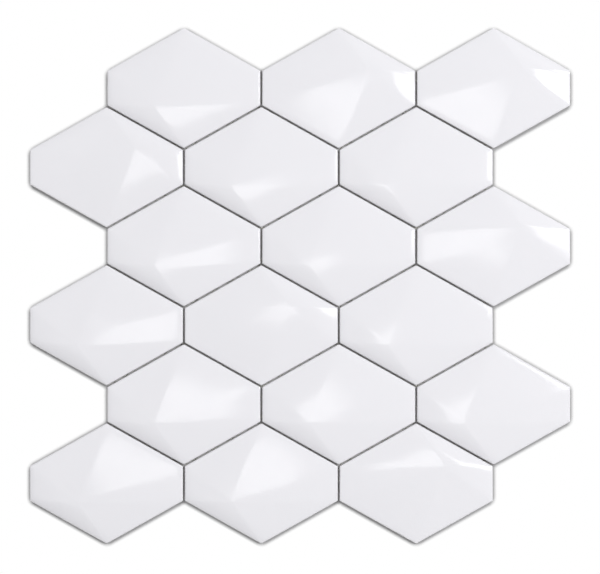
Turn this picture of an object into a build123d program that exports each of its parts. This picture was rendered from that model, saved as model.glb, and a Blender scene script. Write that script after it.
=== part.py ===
from build123d import *
from math import cos, radians, tan
import os

os.makedirs("parts", exist_ok=True)

# One sheet of glazed ceramic mosaic: elongated six-sided tiles in staggered rows on a backing net.
# It lies flat: X runs along the rows, Y across them, Z up. The origin is under the sheet's middle.

# Tile outline, in millimetres and degrees
tile_width = 85.0  # between the two upright sides
tile_height = 66.9  # from the bottom point to the top point
shoulder_angle = 29.3  # slope of the four slanted sides
corner_radius = 1.2  # rounding of the six upright corners

# Tile face: six facets that rise from the rim to one apex away from the middle
edge_thickness = 5.0  # from the back to the rim, before the rim is rolled over
crown_height = 3.0  # from the rim to the apex
apex_aside = 15.6  # apex from the tile's middle, along the width
apex_below = 10.2  # and along the height
facet_bulge = 0.7  # 0 is a flat facet, and 1 one that ends level at the apex
rim_radius = 1.0  # rolled edge between side and face

# Sheet
joint_width = 1.0  # open gap between neighbouring tiles
row_count = 6
tiles_per_row = 3
half_turned_tiles = {(1, 2), (1, 3), (2, 1), (3, 3), (4, 2), (6, 3)}  # (row, column) laid the other way round

# Backing net of flat glass-fibre strands
net_thickness = 0.4
strand_width = 1.6
strands_per_tile = 5  # upright strands in one tile pitch, so that none runs along an upright joint
strands_per_two_rows = 5  # level strands in two row pitches
net_inset = 3.0  # net is cut back this far from the tiles' outer edge

slope = tan(radians(shoulder_angle))
half_width = tile_width / 2
half_height = tile_height / 2
corner_level = half_height - half_width * slope  # height of the side corners over the tile's middle
tile_pitch = tile_width + joint_width
row_pitch = tile_height - tile_pitch / 2 * slope + joint_width / cos(radians(shoulder_angle))
apex_height = edge_thickness + crown_height
work_height = 2 * apex_height  # cutting shapes reach up to here
work_reach = tile_width + tile_height  # and this far to each side


def hexagon_corners(grow):
    # Corners of the tile's outline, counter-clockwise, with every side moved out by grow.
    side = half_width + grow
    point = half_height + grow / cos(radians(shoulder_angle))
    level = point - side * slope
    return [(side, level), (0, point), (-side, level), (-side, -level), (0, -point), (side, -level)]


def facet_profile(apex_distance):
    # Section square to one side of the tile: upright wall, rolled rim, and the bowed rise to the apex.
    # The bow runs on past the apex, so that only the facets' own surfaces meet there.
    overrun = 1.2
    overrun_rise = crown_height * (overrun * (1 + facet_bulge) - overrun**2 * facet_bulge)
    bow_end = (overrun * apex_distance, edge_thickness + overrun_rise)
    wall = Line((0, 0), (0, edge_thickness))
    bow = ThreePointArc(wall @ 1, (apex_distance, apex_height), bow_end)
    back = Polyline(bow_end, (bow_end[0], work_height), (work_reach, work_height), (work_reach, 0), (0, 0))
    section = make_face(wall + bow + back)
    rim_corner = section.vertices().sort_by_distance((0, edge_thickness, 0))[0]
    return fillet(rim_corner, rim_radius)


def facet_block(start, end, apex):
    # Everything on the inner side of one side wall and under its facet.
    along = (end - start).normalized()
    inward = Vector(-along.Y, along.X, 0)
    apex_distance = (apex - start).dot(inward)
    section_plane = Plane(origin=(start + end) / 2, x_dir=inward, z_dir=along)
    return extrude(section_plane * facet_profile(apex_distance), work_reach, both=True)


def pressed_tile():
    corners = [Vector(x, y, 0) for x, y in hexagon_corners(0)]
    apex = Vector(-apex_aside, -apex_below, 0)
    outline = make_face(Polyline(*corners, close=True))
    tile = extrude(fillet(outline.vertices(), corner_radius), work_height)
    for start, end in zip(corners, corners[1:] + corners[:1]):
        tile = tile & facet_block(start, end, apex)
    return tile


def row_middle(row):
    # Rows are counted from the top, and every second one is shifted by half a tile.
    shift = tile_pitch / 4 if row % 2 == 1 else -tile_pitch / 4
    return shift, ((row_count + 1) / 2 - row) * row_pitch


def tile_middle(row, column):
    row_x, row_y = row_middle(row)
    return row_x + (column - (tiles_per_row + 1) / 2) * tile_pitch, row_y


def row_cells(row):
    # The row's tiles with half of each joint around them, so that the rows' cells leave no gap.
    cell = make_face(Polyline(*hexagon_corners(joint_width / 2), close=True))
    return Sketch() + [Pos(*tile_middle(row, column)) * cell for column in range(1, tiles_per_row + 1)]


def strand_places(pitch, count):
    # Strand middles, evenly to both sides of the sheet's middle.
    return [(number - (count - 1) / 2) * pitch for number in range(count)]


def net_outline():
    sheet = Sketch() + [row_cells(row) for row in range(1, row_count + 1)]
    return offset(sheet, -net_inset, kind=Kind.INTERSECTION)


def net_strands():
    sheet_width = (tiles_per_row + 0.5) * tile_pitch
    sheet_height = (row_count - 1) * row_pitch + tile_height
    upright_strand = Rectangle(strand_width, 2 * sheet_height)
    level_strand = Rectangle(2 * sheet_width, strand_width)
    upright_pitch = tile_pitch / strands_per_tile
    upright_count = int((tiles_per_row + 0.5) * strands_per_tile)
    level_count = row_count * strands_per_two_rows // 2 + 1
    level_pitch = 2 * row_pitch / strands_per_two_rows
    upright = [Pos(x, 0) * upright_strand for x in strand_places(upright_pitch, upright_count)]
    level = [Pos(0, y) * level_strand for y in strand_places(level_pitch, level_count)]
    return (Sketch() + upright + level) & net_outline()


strands = net_strands()
tile = pressed_tile()
for row in range(1, row_count + 1):
    export_step(extrude(strands & row_cells(row), net_thickness), f"parts/backing_net_row{row}.step")
    for column in range(1, tiles_per_row + 1):
        turn = 180 if (row, column) in half_turned_tiles else 0
        x, y = tile_middle(row, column)
        placed_tile = Pos(x, y, net_thickness) * Rot(0, 0, turn) * tile
        export_step(placed_tile, f"parts/tile_row{row}_column{column}.step")
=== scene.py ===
import bpy
import math
import random
import numpy as np
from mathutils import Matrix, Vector, noise


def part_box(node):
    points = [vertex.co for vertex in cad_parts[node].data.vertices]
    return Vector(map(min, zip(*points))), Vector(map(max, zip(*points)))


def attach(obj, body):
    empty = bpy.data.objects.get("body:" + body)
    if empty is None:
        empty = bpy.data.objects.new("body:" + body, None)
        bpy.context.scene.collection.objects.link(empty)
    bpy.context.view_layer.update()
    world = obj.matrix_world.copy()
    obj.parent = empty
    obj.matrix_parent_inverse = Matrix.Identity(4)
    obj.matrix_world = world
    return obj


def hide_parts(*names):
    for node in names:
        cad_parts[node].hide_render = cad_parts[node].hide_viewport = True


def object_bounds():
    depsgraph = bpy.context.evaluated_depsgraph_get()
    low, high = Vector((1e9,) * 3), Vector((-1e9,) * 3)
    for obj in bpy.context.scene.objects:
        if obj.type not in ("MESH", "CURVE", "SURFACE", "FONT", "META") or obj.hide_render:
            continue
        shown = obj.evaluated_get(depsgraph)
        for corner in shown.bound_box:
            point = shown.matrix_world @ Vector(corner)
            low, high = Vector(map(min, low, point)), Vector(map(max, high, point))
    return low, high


# A sheet of glazed ceramic mosaic seen from straight above: eighteen tiles on a glass-fibre net.
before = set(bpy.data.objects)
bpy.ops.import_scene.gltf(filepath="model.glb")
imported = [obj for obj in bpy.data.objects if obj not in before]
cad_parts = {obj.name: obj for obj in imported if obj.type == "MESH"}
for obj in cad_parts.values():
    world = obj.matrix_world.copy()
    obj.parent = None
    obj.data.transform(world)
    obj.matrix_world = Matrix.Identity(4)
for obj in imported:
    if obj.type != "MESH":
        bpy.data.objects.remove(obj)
cadBox = [list(corner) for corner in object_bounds()]
print("frame loaded,", len(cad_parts), "nodes")

mm = 0.001

# How the sheet is laid out. Rows count from the top of the picture, columns from the left.
sheetLayout = {
    "rows": 6,
    "columns": 3,
    "jointWidth": 1.0 * mm,
    "halfTurned": {(1, 2), (1, 3), (2, 1), (3, 3), (4, 2), (6, 3)},  # tiles laid the other way round
}

allRows = range(1, sheetLayout["rows"] + 1)
allColumns = range(1, sheetLayout["columns"] + 1)
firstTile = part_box("tile_row1_column1")
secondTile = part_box("tile_row1_column2")
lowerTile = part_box("tile_row2_column1")
tileWidth = firstTile[1].x - firstTile[0].x
tilePitch = secondTile[0].x - firstTile[0].x
rowPitch = firstTile[0].y - lowerTile[0].y
backLevel = firstTile[0].z

tileMiddles = {}
for row in allRows:
    for column in allColumns:
        low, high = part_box(f"tile_row{row}_column{column}")
        tileMiddles[(row, column)] = ((low.x + high.x) / 2, (low.y + high.y) / 2)


# The pressed tile: everything about its outline and face that one may want to change
tileShape = {
    "shoulderAngle": 29.3,  # degrees, slope of the four slanted sides
    "pointRadius": 1.2 * mm,  # rounding of the top and bottom corners
    "cornerRadius": 0.6 * mm,  # and of the four at the upright sides
    "edgeThickness": 5.0 * mm,
    "crownHeight": 3.0 * mm,
    "apex": (-15.7 * mm, -10.15 * mm),  # from the tile's middle
    "bulge": (0.59, 0.3),  # least bow, and what the shortest facet has on top; 1 ends level at the apex
    "ridgeSoftness": (0.014, 0.05),  # share of the rise over which facets blend, at the apex and the rim
    "nearRidgeSoftness": (0.024, 0.15),  # the same beside the shortest facet, whose ridges are smoother
    "softnessGrowth": 1.5,  # above 1 the blend widens late on its way from the apex to the rim
    "apexSharpness": 12,  # the blend closes up within one part in so many of the way to the rim
    "rimRadius": 0.7 * mm,
    "shoulderWidth": 3.4 * mm,  # faint easing inside the rolled rim
    "shoulderDrop": 0.2 * mm,
    "waviness": 0.008 * mm,  # slow unevenness of the glaze
    "wavinessSize": 14 * mm,
    "noiseSteps": (7.3, 3.1),  # how far apart the rows' and the columns' unevenness is taken
    "apexScatter": 0.5 * mm,  # each tile's apex lies a little elsewhere
    "lean": 0.002,  # and each face leans a little
    "scatterSeed": 18,
    "sideSteps": 22,  # mesh steps along each side
    "cornerSteps": 6,  # and round each corner
    "rimRings": 30,  # rings of mesh over the rim, closest at the very edge
    "rimShare": 0.26,  # and how far to the apex they reach
    "faceRings": 25,  # rings of mesh from there on
}

# Side and back of the tile, which the glaze only partly covers
tileBody = {
    "glazeLine": 2.9 * mm,  # height over the back where the glaze ends
    "glazeLineSway": 0.5 * mm,
    "swayScales": (160, 700),  # slow and quick waves of that line, for each metre
    "quickSway": 0.5,  # the quick waves' height, as a share of the slow ones'
    "glazeThickness": 0.12 * mm,
    # The glaze's rounded lower edge: share of the way from the clay out to the glaze's surface,
    # and height over the glaze line, in thicknesses of the glaze
    "glazeEdge": ((0, -0.6), (0, 0), (0.3, -0.35), (0.85, 0.2), (1, 1.2)),
    "wallRing": 0.6,  # one more ring of mesh, at this share of the glazed wall
    "footRadius": 0.4 * mm,
    "footAngles": (0, 30, 60, 90),  # degrees, rings of mesh round the foot's edge
    "grooves": (0.42, 0.6, 0.78),  # keying grooves in the back, as shares of the outline
    "grooveHalfWidth": 0.022,
    "grooveDepth": 0.3 * mm,
    # Section of a groove: share of its half width, share of its depth
    "grooveProfile": ((-1, 0), (-0.6, 0.8), (-0.35, 1), (0.35, 1), (0.6, 0.8), (1, 0)),
    "plainRings": ((0.15, 0.3), (0.9, 0.96)),  # rings of mesh inside and outside the grooves
}

slope = math.tan(math.radians(tileShape["shoulderAngle"]))
slantLength = 1 / math.cos(math.radians(tileShape["shoulderAngle"]))
halfWidth = tileWidth / 2
cornerLevel = (rowPitch - tilePitch / 2 * slope - sheetLayout["jointWidth"] * slantLength
               + (tilePitch - tileWidth) * slope) / 2
halfHeight = cornerLevel + halfWidth * slope


def hexagonCorners(inset):
    # Counter-clockwise from the upper right. Corners 1 and 4 are the top and bottom points.
    side = halfWidth - inset
    point = halfHeight - inset * slantLength
    level = point - side * slope
    return np.array([(side, level), (0, point), (-side, level), (-side, -level), (0, -point), (side, -level)])


def cornerArc(number, shrink, inset):
    # Centre, radius and the two end angles of one rounded corner.
    corners = hexagonCorners(0)
    before, here, after = corners[number - 1], corners[number], corners[(number + 1) % 6]
    radius = tileShape["pointRadius" if number in (1, 4) else "cornerRadius"] - shrink
    start = math.atan2(*(here - before)[::-1]) - math.pi / 2
    end = math.atan2(*(after - here)[::-1]) - math.pi / 2
    return hexagonCorners(inset + radius)[number], radius, start, start + (end - start) % (2 * math.pi)


def roundedOutline(shrink, inset):
    # Counter-clockwise points, each corner an arc and each side evenly stepped.
    points = []
    for number in range(6):
        centre, radius, start, end = cornerArc(number, shrink, inset)
        for angle in np.linspace(start, end, tileShape["cornerSteps"] + 1):
            points.append(centre + radius * np.array([math.cos(angle), math.sin(angle)]))
        nextCentre, nextRadius = cornerArc((number + 1) % 6, shrink, inset)[:2]
        nextStart = nextCentre + nextRadius * np.array([math.cos(end), math.sin(end)])
        sideStart = points[-1]
        for step in range(1, tileShape["sideSteps"]):
            points.append(sideStart + (nextStart - sideStart) * step / tileShape["sideSteps"])
    return np.array(points)


def sideDistances(points):
    # Distance inward from each of the six straight sides.
    corners = hexagonCorners(0)
    distances = []
    for number in range(6):
        along = corners[(number + 1) % 6] - corners[number]
        along = along / np.linalg.norm(along)
        distances.append((points - corners[number]) @ np.array([-along[1], along[0]]))
    return np.array(distances)


def rimDistance(points):
    # Distance inward from the outline with its rounded corners.
    distances = sideDistances(points).min(axis=0)
    for number in range(6):
        centre, radius, start, end = cornerArc(number, 0, 0)
        fromCentre = points - centre
        pastStart = fromCentre @ np.array([-math.sin(start), math.cos(start)]) > 0
        beforeEnd = fromCentre @ np.array([math.sin(end), -math.cos(end)]) > 0
        onArc = radius - np.linalg.norm(fromCentre, axis=1)
        distances = np.where(pastStart & beforeEnd, onArc, distances)
    return np.maximum(distances, 0)


def softLeast(values, bows, softness):
    # The least value at each point, eased where two are nearly equal, and the bow that goes with it.
    least = values.min(axis=0)
    weights = np.exp((least - values) / softness)
    total = weights.sum(axis=0)
    return least - softness * np.log(total), (weights * bows).sum(axis=0) / total


def blendWidth(fromApex, softness):
    # Wide at the rim, narrow near the apex, and next to nothing at the apex itself.
    atApex, atRim = softness
    width = atApex + (atRim - atApex) * fromApex ** tileShape["softnessGrowth"]
    return width * np.clip(fromApex * tileShape["apexSharpness"], 0.001, 1)


def faceHeight(points, apex):
    # Six bowed facets that meet at the apex, with the rim rolled over.
    # The long facets are blended with each other first, and then with the shortest one.
    shape = tileShape
    apexDistances = sideDistances(np.array([apex]))
    shares = sideDistances(points) / apexDistances
    bows = shape["bulge"][0] + shape["bulge"][1] * apexDistances.min() / apexDistances
    bows = np.repeat(bows, len(points), axis=1)
    fromApex = np.clip(1 - shares.min(axis=0), 0, 1)
    near = int(np.argmin(apexDistances))
    longShare, longBow = softLeast(np.delete(shares, near, axis=0), np.delete(bows, near, axis=0),
                                   blendWidth(fromApex, shape["ridgeSoftness"]))
    share, bow = softLeast(np.array([longShare, shares[near]]), np.array([longBow, bows[near]]),
                           blendWidth(fromApex, shape["nearRidgeSoftness"]))
    rise = shape["crownHeight"] * (share * (1 + bow) - share**2 * bow)
    fromRim = rimDistance(points)
    inset = np.minimum(fromRim, shape["rimRadius"])
    roll = shape["rimRadius"] - np.sqrt(shape["rimRadius"] ** 2 - (shape["rimRadius"] - inset) ** 2)
    easing = shape["shoulderDrop"] * np.clip(1 - fromRim / shape["shoulderWidth"], 0, 1) ** 2
    return shape["edgeThickness"] + rise - roll - easing


def waveHeight(x, y, seed):
    # Never above zero, so that the glaze stays within the tile's full height.
    place = Vector((x / tileShape["wavinessSize"], y / tileShape["wavinessSize"], seed))
    return tileShape["waviness"] * (noise.noise(place) - 1)


def leanHeight(x, y, lean):
    # A leaning face is lowered as a whole, so that no side of it rises.
    return lean[0] * x + lean[1] * y - (abs(lean[0]) + abs(lean[1])) * halfWidth


def meshFromRings(name, rings, ringMaterials, closeStart, closeEnd):
    # Rings of equally many points joined by quads, with a fan at either end.
    count = len(rings[0])
    verts = [tuple(point) for ring in rings for point in ring]
    faces = []
    slots = []
    for level in range(len(rings) - 1):
        for number in range(count):
            following = (number + 1) % count
            faces.append((level * count + number, level * count + following,
                          (level + 1) * count + following, (level + 1) * count + number))
            slots.append(ringMaterials[level])
    verts.append(tuple(closeStart))
    faces += [((number + 1) % count, number, len(verts) - 1) for number in range(count)]
    slots += [ringMaterials[0]] * count
    verts.append(tuple(closeEnd))
    last = (len(rings) - 1) * count
    faces += [(last + number, last + (number + 1) % count, len(verts) - 1) for number in range(count)]
    slots += [ringMaterials[-1]] * count
    mesh = bpy.data.meshes.new(name)
    mesh.from_pydata(verts, [], faces)
    mesh.validate()
    mesh.polygons.foreach_set("use_smooth", [True] * len(mesh.polygons))
    mesh.polygons.foreach_set("material_index", slots)
    return mesh


def addPiece(name, mesh, materials):
    piece = bpy.data.objects.new(name, mesh)
    bpy.context.scene.collection.objects.link(piece)
    for material in materials:
        mesh.materials.append(material)
    return piece


def ringAt(outline, height):
    # The outline's points, all at one height or each at its own.
    return np.column_stack([outline, np.broadcast_to(height, len(outline))])


def backRings(clayOutline):
    # From the middle of the back outward, dipping into each keying groove.
    inner, outer = tileBody["plainRings"]
    profile = [(share, 0) for share in inner]
    for groove in tileBody["grooves"]:
        for step, depth in tileBody["grooveProfile"]:
            profile.append((groove + step * tileBody["grooveHalfWidth"], depth))
    profile += [(share, 0) for share in outer]
    return [ringAt(clayOutline * share, depth * tileBody["grooveDepth"]) for share, depth in profile]


def edgeSway(x, y, seed):
    slow, quick = [noise.noise(Vector((x * scale, y * scale, seed))) for scale in tileBody["swayScales"]]
    return slow + tileBody["quickSway"] * quick


def sideRings(outline, clayOutline, seed):
    # Bare clay foot, then the glaze with its uneven lower edge, up to the rolled rim.
    body = tileBody
    foot, thickness = body["footRadius"], body["glazeThickness"]
    rings = []
    for angle in body["footAngles"]:
        turn = math.radians(angle)
        inset = thickness + foot * (1 - math.sin(turn))
        rings.append(ringAt(roundedOutline(thickness, inset), foot * (1 - math.cos(turn))))
    line = body["glazeLine"] + body["glazeLineSway"] * np.array([edgeSway(x, y, seed) for x, y in outline])
    for outward, rise in body["glazeEdge"]:
        rings.append(ringAt(outline * outward + clayOutline * (1 - outward), line + rise * thickness))
    rimTop = tileShape["edgeThickness"] - tileShape["rimRadius"] - tileShape["shoulderDrop"]
    rings.append(ringAt(outline, (line + thickness) * (1 - body["wallRing"]) + rimTop * body["wallRing"]))
    return rings


def tileMesh(name, apex, lean, seed):
    outline = roundedOutline(0, 0)
    clayOutline = roundedOutline(tileBody["glazeThickness"], tileBody["glazeThickness"])
    rings = backRings(clayOutline) + sideRings(outline, clayOutline, seed)
    glazedRings = sum(outward > 0 for outward, rise in tileBody["glazeEdge"]) + 1
    clayRings = len(rings) - glazedRings
    rimShares = np.linspace(0, 1, tileShape["rimRings"]) ** 2 * tileShape["rimShare"]
    faceShares = np.linspace(tileShape["rimShare"], 1, tileShape["faceRings"])[1:-1]
    for share in [*rimShares, *faceShares]:
        flat = outline + (np.array(apex) - outline) * share
        unevenness = np.array([waveHeight(x, y, seed) for x, y in flat])
        rings.append(ringAt(flat, faceHeight(flat, apex) + unevenness + leanHeight(*flat.T, lean)))
    top = faceHeight(np.array([apex]), apex)[0] + waveHeight(*apex, seed) + leanHeight(*apex, lean)
    ringMaterials = [1] * clayRings + [0] * (len(rings) - clayRings)  # glaze is 0 and clay is 1
    return meshFromRings(name, rings, ringMaterials, (0, 0, 0), (*apex, top))


def layTile(mesh, row, column):
    # Moves the mesh to its place in the sheet, half turned where the sheet has it so.
    turn = -1 if (row, column) in sheetLayout["halfTurned"] else 1
    middleX, middleY = tileMiddles[(row, column)]
    for vertex in mesh.vertices:
        vertex.co = (middleX + turn * vertex.co.x, middleY + turn * vertex.co.y, vertex.co.z + backLevel)


def makeTiles(materials):
    scatter = tileShape["apexScatter"]
    rowStep, columnStep = tileShape["noiseSteps"]
    random.seed(tileShape["scatterSeed"])
    for row in allRows:
        for column in allColumns:
            apex = (tileShape["apex"][0] + random.uniform(-scatter, scatter),
                    tileShape["apex"][1] + random.uniform(-scatter, scatter))
            lean = (random.uniform(-1, 1) * tileShape["lean"], random.uniform(-1, 1) * tileShape["lean"])
            name = f"pressedTile_{row}_{column}"
            mesh = tileMesh(name, apex, lean, row * rowStep + column * columnStep)
            layTile(mesh, row, column)
            tile = addPiece(name, mesh, materials)
            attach(tile, "root")
            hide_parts(f"tile_row{row}_column{column}")
    print("tiles made,", len(mesh.polygons), "faces each")


def principled(name):
    material = bpy.data.materials.new(name)
    material.use_nodes = True
    nodes = material.node_tree.nodes
    return material, nodes, material.node_tree.links, nodes["Principled BSDF"]


def noiseFrom(nodes, links, vector, scale, detail=2.0, roughness=0.5):
    texture = nodes.new("ShaderNodeTexNoise")
    texture.inputs["Scale"].default_value = scale
    texture.inputs["Detail"].default_value = detail
    texture.inputs["Roughness"].default_value = roughness
    links.new(vector, texture.inputs["Vector"])
    return texture.outputs["Fac"]


def spreadTo(nodes, links, value, fromRange, toRange):
    spread = nodes.new("ShaderNodeMapRange")
    spread.inputs["From Min"].default_value, spread.inputs["From Max"].default_value = fromRange
    spread.inputs["To Min"].default_value, spread.inputs["To Max"].default_value = toRange
    links.new(value, spread.inputs["Value"])
    return spread.outputs["Result"]


def bumpFrom(nodes, links, height, distance, normal=None):
    bump = nodes.new("ShaderNodeBump")
    bump.inputs["Distance"].default_value = distance
    bump.inputs["Strength"].default_value = 1.0
    links.new(height, bump.inputs["Height"])
    if normal is not None:
        links.new(normal, bump.inputs["Normal"])
    return bump.outputs["Normal"]


def blendColours(nodes, links, value, first, second):
    # Either colour may be a fixed one or come from another node.
    mix = nodes.new("ShaderNodeMix")
    mix.data_type = "RGBA"
    for socket, colour in (("A", first), ("B", second)):
        if isinstance(colour, tuple):
            mix.inputs[socket].default_value = colour
        else:
            links.new(colour, mix.inputs[socket])
    links.new(value, mix.inputs["Factor"])
    return mix.outputs["Result"]


# Ranges below say between which values of a noise the one look turns into the other.
glazeLook = {
    "colour": (0.828, 0.822, 0.856, 1),
    "cloudColour": (0.818, 0.813, 0.848, 1),
    "cloudSize": 9 * mm,
    "cloudRange": (0.3, 0.7),
    "roughness": (0.085, 0.125),  # from cloud to cloud
    "refraction": 1.5,
    "peelSize": 2.5 * mm,  # slow ripple of the fired surface
    "peelHeight": 0.0004 * mm,
    "pinholeSize": 0.35 * mm,
    "pinholeRange": (0.6, 0.75),
    "pinholeHeight": 0.0006 * mm,
}


def whiteGlaze():
    look = glazeLook
    material, nodes, links, shader = principled("whiteGlaze")
    shader.inputs["IOR"].default_value = look["refraction"]
    coords = nodes.new("ShaderNodeTexCoord").outputs["Object"]
    cloud = noiseFrom(nodes, links, coords, 1 / look["cloudSize"])
    tint = blendColours(nodes, links, cloud, look["colour"], look["cloudColour"])
    links.new(tint, shader.inputs["Base Color"])
    gloss = spreadTo(nodes, links, cloud, look["cloudRange"], look["roughness"])
    links.new(gloss, shader.inputs["Roughness"])
    peel = noiseFrom(nodes, links, coords, 1 / look["peelSize"])
    ripple = bumpFrom(nodes, links, peel, look["peelHeight"])
    grains = noiseFrom(nodes, links, coords, 1 / look["pinholeSize"])
    pinholes = spreadTo(nodes, links, grains, look["pinholeRange"], (1, 0))
    links.new(bumpFrom(nodes, links, pinholes, look["pinholeHeight"], ripple), shader.inputs["Normal"])
    return material


clayLook = {
    "colour": (0.42, 0.39, 0.36, 1),
    "paleColour": (0.50, 0.47, 0.43, 1),
    "speckColour": (0.26, 0.22, 0.19, 1),
    "roughness": 0.9,
    "shine": 0.25,  # 0.5 would be a usual surface's
    "patchScale": 120,  # pale patches, for each metre
    "patchRange": (0.35, 0.65),
    "speckSize": 1.1 * mm,
    "speckRange": (0.08, 0.16),
    "speckStrength": 0.8,
    "grainSize": 0.25 * mm,
    "grainHeight": 0.03 * mm,
}


def bareClay():
    look = clayLook
    material, nodes, links, shader = principled("bareClay")
    shader.inputs["Roughness"].default_value = look["roughness"]
    shader.inputs["Specular IOR Level"].default_value = look["shine"]
    coords = nodes.new("ShaderNodeTexCoord").outputs["Object"]
    clouds = noiseFrom(nodes, links, coords, look["patchScale"], detail=4)
    patches = spreadTo(nodes, links, clouds, look["patchRange"], (0, 1))
    body = blendColours(nodes, links, patches, look["colour"], look["paleColour"])
    cells = nodes.new("ShaderNodeTexVoronoi")
    cells.inputs["Scale"].default_value = 1 / look["speckSize"]
    links.new(coords, cells.inputs["Vector"])
    specks = spreadTo(nodes, links, cells.outputs["Distance"], look["speckRange"], (look["speckStrength"], 0))
    links.new(blendColours(nodes, links, specks, body, look["speckColour"]), shader.inputs["Base Color"])
    grain = noiseFrom(nodes, links, coords, 1 / look["grainSize"], detail=3, roughness=0.6)
    links.new(bumpFrom(nodes, links, grain, look["grainHeight"]), shader.inputs["Normal"])
    return material


# Backing net: pairs of upright yarns that twist round flat level yarns, set in resin.
# Every third pair and every third level yarn lies where the CAD has a strand.
netShape = {
    "uprightPitch": tilePitch / 15,
    "levelPitch": rowPitch * 2 / 15,
    "inset": 3.0 * mm,  # cut back from the tiles' outer edge
    "insetDirections": 16,  # in which the inset is measured
    "levelYarn": (1.2 * mm, 0.13 * mm),  # width and thickness
    "uprightYarn": (0.55 * mm, 0.13 * mm),
    "twist": 0.36 * mm,  # how far the two upright yarns swing to either side
    "wander": 0.12 * mm,  # yarns don't lie quite straight
    "wanderScales": (60, 90),  # its waves for each metre, along a yarn and from yarn to yarn
    "wanderSeeds": (4.0, 9.0),  # for upright and for level yarns
    "netThickness": 0.4 * mm,
    "cutStep": 0.1 * mm,  # how finely the yarns' ends are placed
    "meshStep": 1.4 * mm,
    "yarnSides": 6,
}

yarnLook = {
    "colour": (0.84, 0.84, 0.80, 1),
    "valleyShadeColour": (0.70, 0.70, 0.66, 1),  # painted shade between the fibres
    "roughness": 0.42,
    "resinCoat": 0.35,
    "resinRoughness": 0.25,
    "fibreSize": 0.07 * mm,
    "fibreRange": (0.35, 0.6),
    "fibreHeight": 0.03 * mm,
    "fibreStretch": 0.05,  # the lower, the longer the fibres
}


def glassYarn(name, upright):
    # Fine fibres along the yarn, under a thin film of resin, with painted shade in the valleys between them.
    look = yarnLook
    material, nodes, links, shader = principled(name)
    shader.inputs["Roughness"].default_value = look["roughness"]
    shader.inputs["Coat Weight"].default_value = look["resinCoat"]
    shader.inputs["Coat Roughness"].default_value = look["resinRoughness"]
    coords = nodes.new("ShaderNodeTexCoord").outputs["Object"]
    mapping = nodes.new("ShaderNodeMapping")
    stretch = look["fibreStretch"]
    mapping.inputs["Scale"].default_value = (1, stretch, 1) if upright else (stretch, 1, 1)
    links.new(coords, mapping.inputs["Vector"])
    fibres = noiseFrom(nodes, links, mapping.outputs["Vector"], 1 / look["fibreSize"])
    crests = spreadTo(nodes, links, fibres, look["fibreRange"], (0, 1))
    # The valleys between the fibres get a painted shade.
    tint = blendColours(nodes, links, crests, look["valleyShadeColour"], look["colour"])
    links.new(tint, shader.inputs["Base Color"])
    links.new(bumpFrom(nodes, links, fibres, look["fibreHeight"]), shader.inputs["Normal"])
    return material


def insideRow(points, row):
    # Whether each point lies in the row's tiles, with half a joint around them.
    grow = sheetLayout["jointWidth"] / 2
    inside = np.zeros(len(points), bool)
    for column in allColumns:
        awayX, awayY = np.abs(points - np.array(tileMiddles[(row, column)])).T
        underSlants = awayY + awayX * slope <= halfHeight + grow * slantLength
        inside |= (awayX <= halfWidth + grow) & underSlants
    return inside


def insideNet(points):
    # Inside the sheet by the net's inset in every direction.
    inside = np.ones(len(points), bool)
    for angle in np.linspace(0, 2 * math.pi, netShape["insetDirections"], endpoint=False):
        probe = points + netShape["inset"] * np.array([math.cos(angle), math.sin(angle)])
        inside &= np.any([insideRow(probe, row) for row in allRows], axis=0)
    return inside


def yarnRuns(place, upright, reach):
    # Stretches of one straight yarn, as (row, start, end), that lie inside the net.
    step = netShape["cutStep"]
    along = np.arange(-reach, reach, step)
    across = np.full(len(along), place)
    points = np.column_stack([across, along] if upright else [along, across])
    inNet = insideNet(points)
    runs = []
    for row in allRows:
        kept = np.concatenate([[False], inNet & insideRow(points, row), [False]])
        starts = np.flatnonzero(~kept[:-1] & kept[1:])
        ends = np.flatnonzero(kept[:-1] & ~kept[1:])
        for start, end in zip(starts, ends):
            runs.append((row, along[0] + (start - 0.5) * step, along[0] + (end - 0.5) * step))
    return runs


def yarnTube(start, end, centreLine, size, upright):
    # Flat oval tube along a centre line, closed at both ends.
    sides = netShape["yarnSides"]
    angles = [2 * math.pi * side / sides for side in range(sides)]
    tallest = max(math.sin(angle) for angle in angles)  # so that the yarn gets its full thickness
    count = max(2, int((end - start) / netShape["meshStep"]) + 2)
    verts, faces = [], []
    for along in np.linspace(start, end, count):
        across, level = centreLine(along)
        for angle in angles:
            sideways = across + size[0] / 2 * math.cos(angle)
            height = level + size[1] / 2 * math.sin(angle) / tallest
            verts.append((sideways, along, height) if upright else (along, sideways, height))
    for ring in range(count - 1):
        for side in range(sides):
            following = (side + 1) % sides
            faces.append((ring * sides + side, ring * sides + following,
                          (ring + 1) * sides + following, (ring + 1) * sides + side))
    faces.append(tuple(range(sides))[::-1])
    faces.append(tuple(range((count - 1) * sides, count * sides)))
    # In this order the faces look outward on an upright yarn, and inward on a level one.
    return verts, faces if upright else [face[::-1] for face in faces]


def wanderAt(place, along, upright):
    alongScale, placeScale = netShape["wanderScales"]
    uprightSeed, levelSeed = netShape["wanderSeeds"]
    if upright:
        where = Vector((place * placeScale, along * alongScale, uprightSeed))
    else:
        where = Vector((along * alongScale, place * placeScale, levelSeed))
    return netShape["wander"] * noise.noise(where)


def uprightLine(place, side):
    # One yarn of a pair runs over the level yarns and one under, and they change sides in between.
    middle = netShape["netThickness"] / 2
    lift = middle - netShape["uprightYarn"][1] / 2

    def centreLine(along):
        swing = side * netShape["twist"] * math.cos(math.pi * (along / netShape["levelPitch"] - 0.5))
        return place + wanderAt(place, along, True) + swing, middle + side * lift
    return centreLine


def levelLine(place):
    middle = netShape["netThickness"] / 2

    def centreLine(along):
        return place + wanderAt(place, along, False), middle
    return centreLine


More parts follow.
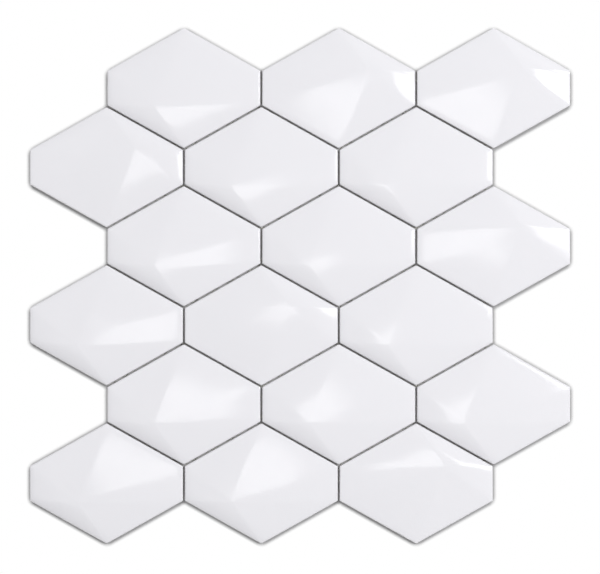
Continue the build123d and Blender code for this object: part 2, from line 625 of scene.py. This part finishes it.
def yarnPlaces(pitch, shift, reach):
    # Where the yarns of one direction lie, to both sides of the sheet's middle.
    count = math.ceil(reach / pitch)
    return [(number + shift) * pitch for number in range(-count, count + 1)]


def netYarns():
    # Every yarn of the net as (tube, row, material slot).
    reach = (cadBox[1][0] - cadBox[0][0]) / 2
    yarns = []
    for place in yarnPlaces(netShape["uprightPitch"], 0, reach):
        for side in (1, -1):
            for row, start, end in yarnRuns(place, True, reach):
                tube = yarnTube(start, end, uprightLine(place, side), netShape["uprightYarn"], True)
                yarns.append((tube, row, 0))
    for place in yarnPlaces(netShape["levelPitch"], 0.5, reach):
        for row, start, end in yarnRuns(place, False, reach):
            tube = yarnTube(start, end, levelLine(place), netShape["levelYarn"], False)
            yarns.append((tube, row, 1))
    return yarns


def makeNet(materials):
    parts = {row: ([], [], []) for row in allRows}
    for (tubeVerts, tubeFaces), row, slot in netYarns():
        verts, faces, slots = parts[row]
        offset = len(verts)
        verts += tubeVerts
        faces += [tuple(index + offset for index in face) for face in tubeFaces]
        slots += [slot] * len(tubeFaces)
    for row, (verts, faces, slots) in parts.items():
        mesh = bpy.data.meshes.new(f"netYarns_{row}")
        mesh.from_pydata(verts, [], faces)
        mesh.polygons.foreach_set("use_smooth", [len(face) == 4 for face in faces])
        mesh.polygons.foreach_set("material_index", slots)
        net = addPiece(f"netYarns_{row}", mesh, materials)
        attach(net, "root")
        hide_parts(f"backing_net_row{row}")
    print("net made,", sum(len(faces) for _, faces, _ in parts.values()), "faces")


# Camera straight above the sheet, as far as the reflections say, with the photograph's frame
cameraView = {
    "height": 1620 * mm,
    "frameWidth": 333.03 * mm,  # what the frame's width covers at the rims' level
    "aim": (0.0, -0.67 * mm),
    "sensor": 36,
    "farthest": 20,  # metres, how far it sees
}


def placeCamera():
    data = bpy.data.cameras.new("camera")
    camera = bpy.data.objects.new("camera", data)
    bpy.context.scene.collection.objects.link(camera)
    rimLevel = backLevel + tileShape["edgeThickness"]
    camera.location = (*cameraView["aim"], cameraView["height"])
    data.sensor_width = cameraView["sensor"]
    data.lens = cameraView["sensor"] * (cameraView["height"] - rimLevel) / cameraView["frameWidth"]
    data.clip_end = cameraView["farthest"]
    bpy.context.scene.camera = camera


# Light, in metres: a small soft lamp at the camera, a broad one to the right, a window far off to
# the upper right, a faint glow from the left, and a white room that is brightest overhead
lights = {
    "room": 0.12,  # white room's own level
    "roomSlope": (-0.01, 0.025, 0.733),  # how much brighter it is to the right, to the top and overhead
    "lamps": {
        "overhead": {"place": (0.0, -0.027, 1.62), "size": (0.285, 0.285), "radiance": 2.6, "turn": 0},
        "side": {"place": (1.14, 0.20, 1.30), "size": (1.42, 0.335), "radiance": 5.0, "turn": 0},
        "window": {"place": (2.79, 1.566, 3.2), "size": (2.4, 0.6), "radiance": 16.3, "turn": 29.3},
        "leftWall": {"place": (-0.62, 0.0, 1.3), "size": (0.55, 1.1), "radiance": 0.35, "turn": 0},
    },
}


def addLamp(name, place, size, radiance, turn):
    # Faces straight down, turned about the upright by some degrees. Radiance is what a mirror would show.
    data = bpy.data.lights.new(name, "AREA")
    data.shape = "RECTANGLE"
    data.size, data.size_y = size
    data.energy = radiance * math.pi * size[0] * size[1]
    lamp = bpy.data.objects.new(name, data)
    lamp.location = place
    lamp.rotation_euler.z = math.radians(turn)
    bpy.context.scene.collection.objects.link(lamp)


def lightTheScene():
    for name, lamp in lights["lamps"].items():
        addLamp(name + "Lamp", **lamp)
    world = bpy.data.worlds.new("whiteRoom")
    bpy.context.scene.world = world
    world.use_nodes = True
    nodes, links = world.node_tree.nodes, world.node_tree.links
    background = nodes["Background"]
    background.inputs["Color"].default_value = (1, 1, 1, 1)
    rise = nodes.new("ShaderNodeVectorMath")
    rise.operation = "DOT_PRODUCT"
    rise.inputs[1].default_value = lights["roomSlope"]
    links.new(nodes.new("ShaderNodeTexCoord").outputs["Generated"], rise.inputs[0])
    # The room's own level is added, and what would be below black is black.
    room = spreadTo(nodes, links, rise.outputs["Value"], (-lights["room"], 2 - lights["room"]), (0, 2))
    seen = nodes.new("ShaderNodeMix")
    links.new(nodes.new("ShaderNodeLightPath").outputs["Is Camera Ray"], seen.inputs["Factor"])
    links.new(room, seen.inputs["A"])
    seen.inputs["B"].default_value = 1.0
    links.new(seen.outputs["Result"], background.inputs["Strength"])


# Floor: white paper. The camera sees it as plain white in the open, and close to the sheet and in its
# joints as darker paper: a painted contact shadow, which falls a little toward the bottom of the picture.
floorLook = {
    "colour": (0.98, 0.98, 0.98, 1),
    "paintedShadowColour": (0.38, 0.38, 0.39, 1),  # painted shadow: the paper's colour as the camera sees it close to the sheet
    "jointColour": (0.88, 0.88, 0.88, 1),  # and at the bottom of a joint, a little painted shade
    "jointRange": (0.2, 0.45),  # openness from the one to the other
    "shadowReach": 3.4 * mm,
    "shadowLean": (-0.05, 0.3, 0.95),  # direction in which openness is looked for
    "shadowRange": (0.62, 0.94),  # openness over which the painted shadow fades out
    "shadowSamples": 16,
    "reach": 4,  # metres to each side
    "gap": 0.05 * mm,  # to the back of the sheet
}


def whitePaper():
    look = floorLook
    material, nodes, links, shader = principled("whitePaper")
    cameraRay = nodes.new("ShaderNodeLightPath").outputs["Is Camera Ray"]
    shader.inputs["Roughness"].default_value = 1
    shader.inputs["Specular IOR Level"].default_value = 0
    # Ambient occlusion paints the contact shadow: where the floor is closed in, the camera sees darker paper
    # instead of plain white.
    ambient = nodes.new("ShaderNodeAmbientOcclusion")
    ambient.samples = look["shadowSamples"]
    ambient.inputs["Distance"].default_value = look["shadowReach"]
    leaning = nodes.new("ShaderNodeCombineXYZ")
    for axis, value in zip("XYZ", Vector(look["shadowLean"]).normalized()):
        leaning.inputs[axis].default_value = value
    links.new(leaning.outputs["Vector"], ambient.inputs["Normal"])
    openness = ambient.outputs["AO"]
    inJoint = spreadTo(nodes, links, openness, look["jointRange"], (1, 0))
    shaded = blendColours(nodes, links, inJoint, look["paintedShadowColour"], look["jointColour"])
    links.new(blendColours(nodes, links, cameraRay, look["colour"], shaded), shader.inputs["Base Color"])
    plainWhite = nodes.new("ShaderNodeMath")
    plainWhite.operation = "MULTIPLY"
    links.new(spreadTo(nodes, links, openness, look["shadowRange"], (0, 1)), plainWhite.inputs[0])
    links.new(cameraRay, plainWhite.inputs[1])
    blend = nodes.new("ShaderNodeMixShader")
    links.new(plainWhite.outputs["Value"], blend.inputs["Fac"])
    links.new(shader.outputs["BSDF"], blend.inputs[1])
    links.new(nodes.new("ShaderNodeEmission").outputs["Emission"], blend.inputs[2])
    links.new(blend.outputs["Shader"], nodes["Material Output"].inputs["Surface"])
    return material


def layFloor():
    reach = floorLook["reach"]
    corners = [(-reach, -reach, 0), (reach, -reach, 0), (reach, reach, 0), (-reach, reach, 0)]
    mesh = bpy.data.meshes.new("floor")
    mesh.from_pydata(corners, [], [(0, 1, 2, 3)])
    floor = addPiece("floor", mesh, [whitePaper()])
    floor.location.z = -floorLook["gap"]


makeTiles([whiteGlaze(), bareClay()])
makeNet([glassYarn("uprightYarn", True), glassYarn("levelYarn", False)])
placeCamera()
lightTheScene()
layFloor()
bpy.context.scene.view_settings.view_transform = "Standard"
print("camera, lamps and floor placed")
